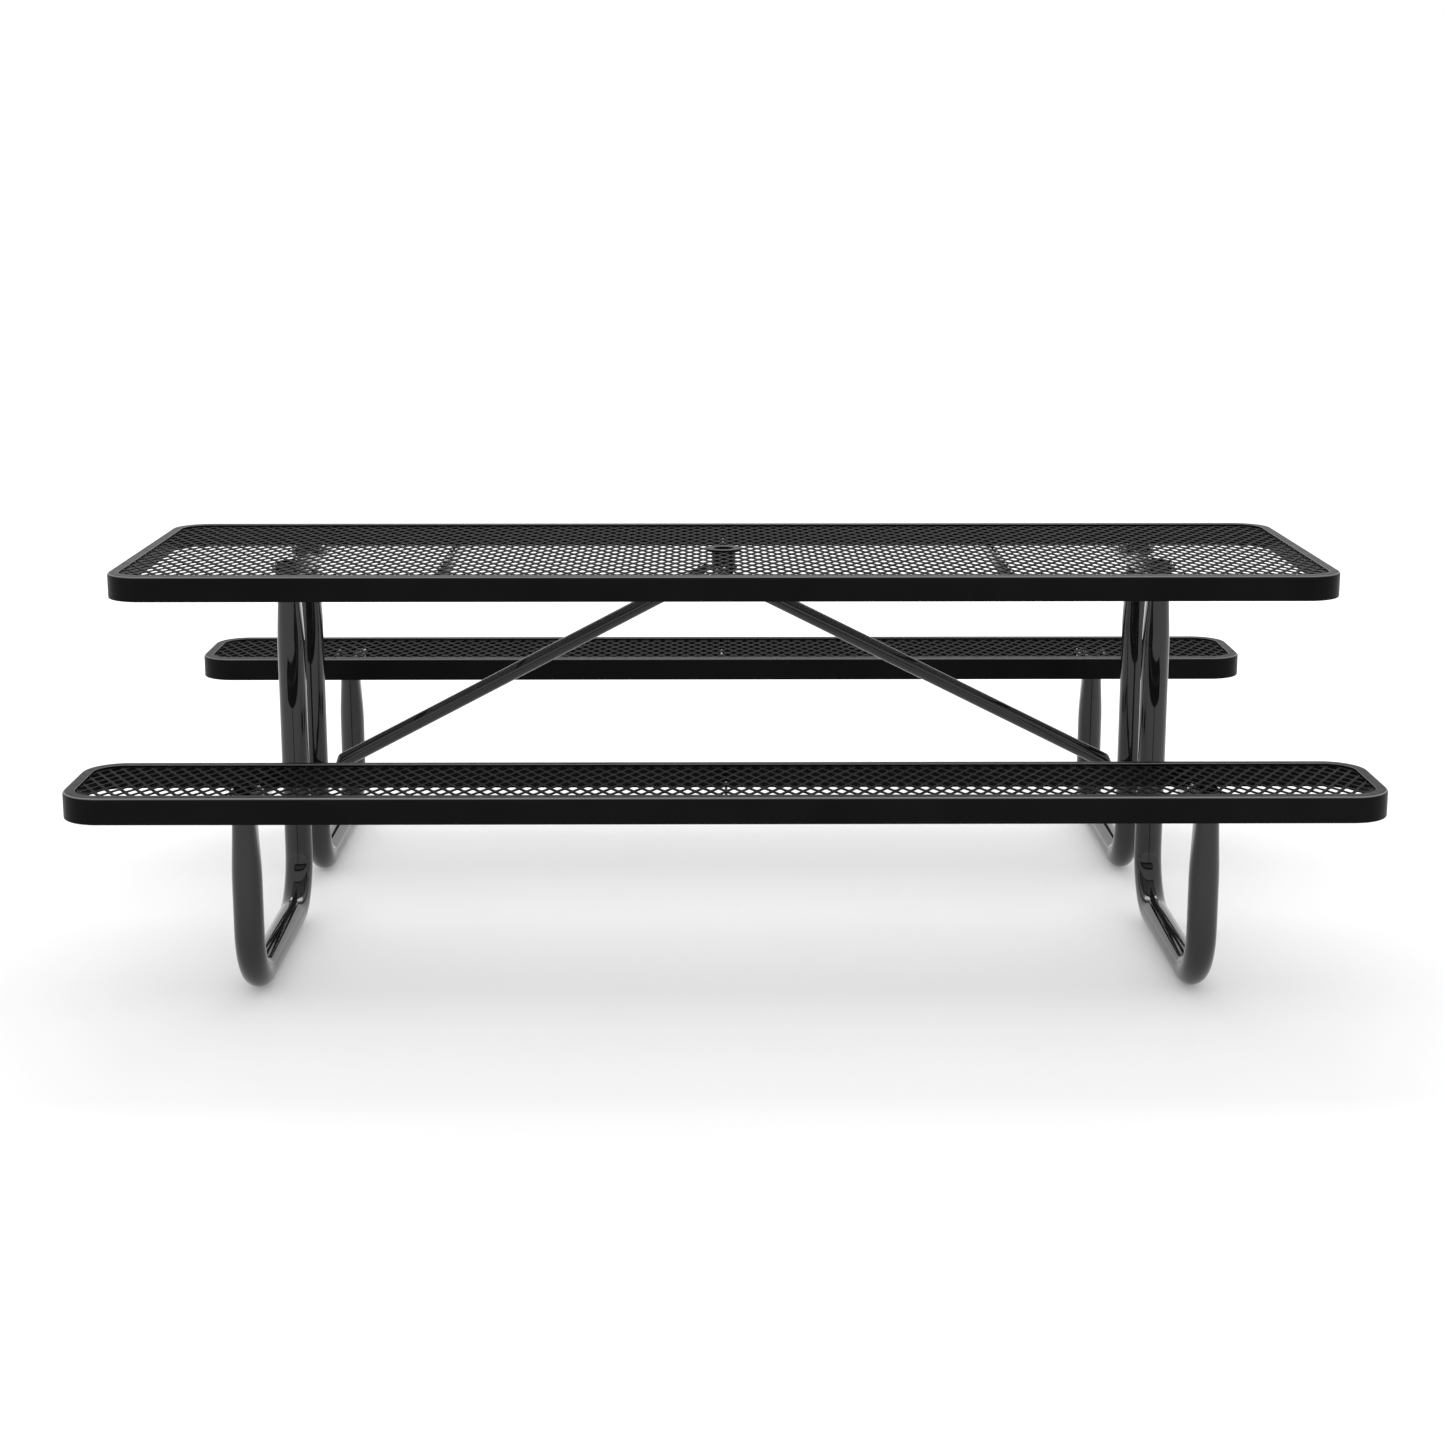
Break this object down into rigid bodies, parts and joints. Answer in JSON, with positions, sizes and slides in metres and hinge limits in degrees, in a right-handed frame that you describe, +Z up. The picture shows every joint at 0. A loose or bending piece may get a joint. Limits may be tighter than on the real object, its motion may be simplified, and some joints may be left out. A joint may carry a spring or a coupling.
{
  "type": "picnic table",
  "caption": "Rectangular outdoor table with diamond-mesh top and benches, rounded skirted rims, umbrella hole, U-bent tube legs and diagonal braces.",
  "frame": {"origin": "on the floor, under the middle of the tabletop", "axes": "+X along the table's length, +Y across it towards the rear bench, +Z up"},
  "size_m": [2.4384, 1.6144, 0.7577],
  "materials": {
    "rim_coating": "satin black thermoplastic coating over steel",
    "mesh_coating": "satin black thermoplastic coating over expanded steel",
    "frame_paint": "gloss black powder coat over steel tube",
    "fastener_steel": "zinc-plated steel"
  },
  "bodies": {
    "root": {"table_rim": "rim_coating", "table_mesh": "mesh_coating", "umbrella_sleeve": "rim_coating", "table_end_bar_left": "frame_paint", "table_end_bar_right": "frame_paint", "table_mid_bar_left": "frame_paint", "table_mid_bar_right": "frame_paint", "table_centre_bar_front": "frame_paint", "table_centre_bar_rear": "frame_paint", "front_bench_rim": "rim_coating", "front_bench_mesh": "mesh_coating", "front_bench_end_bar_left": "frame_paint", "front_bench_end_bar_right": "frame_paint", "front_bench_centre_bar": "frame_paint", "rear_bench_rim": "rim_coating", "rear_bench_mesh": "mesh_coating", "rear_bench_end_bar_left": "frame_paint", "rear_bench_end_bar_right": "frame_paint", "rear_bench_centre_bar": "frame_paint", "leg_front_left": "frame_paint", "leg_front_right": "frame_paint", "leg_rear_left": "frame_paint", "leg_rear_right": "frame_paint", "tie_bar_left": "frame_paint", "tie_bar_right": "frame_paint", "brace_left": "frame_paint", "brace_right": "frame_paint", "table_leg_bolts": "fastener_steel", "table_leg_washers": "fastener_steel", "table_leg_nuts": "fastener_steel", "bench_leg_bolts": "fastener_steel", "bench_leg_washers": "fastener_steel", "bench_leg_nuts": "fastener_steel", "brace_bolts": "fastener_steel", "brace_nuts": "fastener_steel"}
  },
  "joints": []
}
